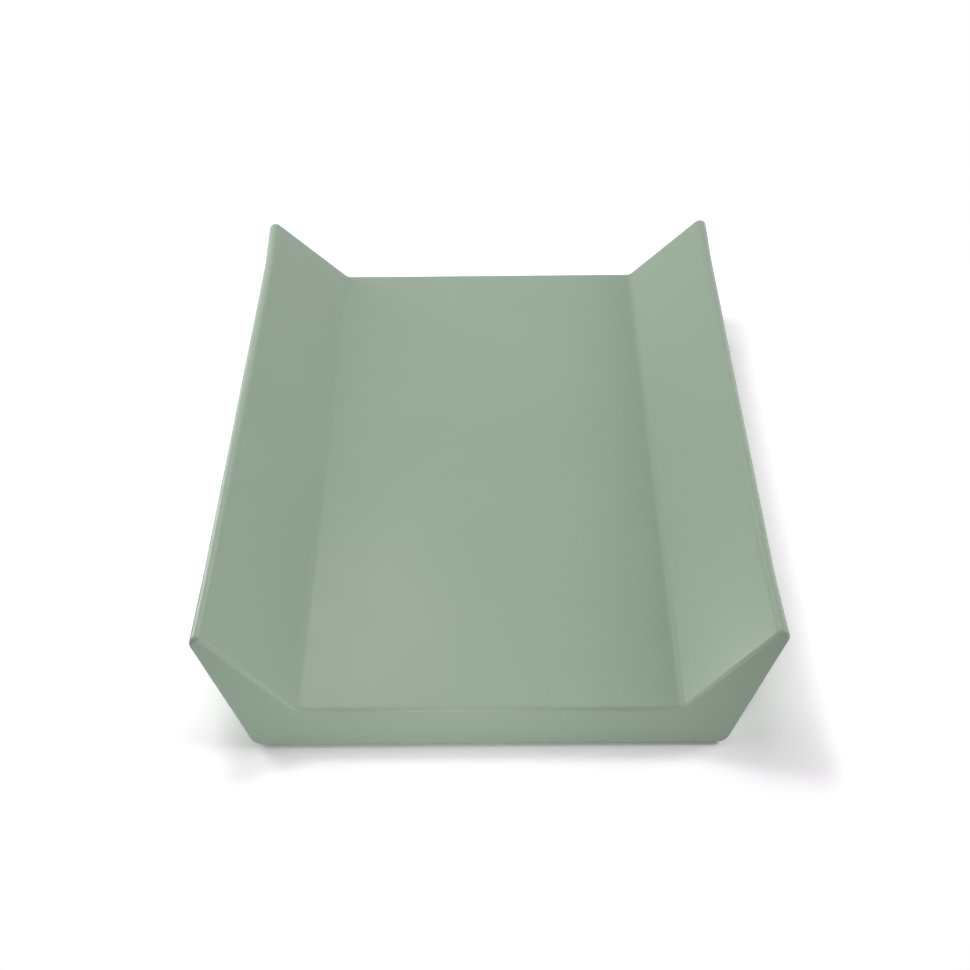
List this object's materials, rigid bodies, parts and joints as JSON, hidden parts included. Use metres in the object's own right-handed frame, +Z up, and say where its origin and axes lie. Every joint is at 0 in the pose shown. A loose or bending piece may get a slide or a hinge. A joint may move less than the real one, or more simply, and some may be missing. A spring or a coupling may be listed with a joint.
{
  "type": "changing mat",
  "caption": "Soft moulded foam changing mat: a flat lying face between raised side wings with rounded rims, open at the head and foot ends, on thin anti-slip pads.",
  "frame": {"origin": "on the resting plane, under the middle of the mat", "axes": "+X towards the right wing, +Y towards the far end along the mat's length, +Z up"},
  "size_m": [0.5, 0.7, 0.12],
  "materials": {
    "skin": "satin soft-touch polyurethane skin in sage green",
    "foam": "flexible polyurethane foam, cream",
    "pad": "matt anti-slip rubber, dark grey-green"
  },
  "bodies": {
    "root": {"top_skin": "skin", "lower_skin": "skin", "base_foam_core": "foam", "left_wing_foam_core": "foam", "right_wing_foam_core": "foam", "anti_slip_pad_front_left": "pad", "anti_slip_pad_front_right": "pad", "anti_slip_pad_rear_left": "pad", "anti_slip_pad_rear_right": "pad"}
  },
  "joints": []
}
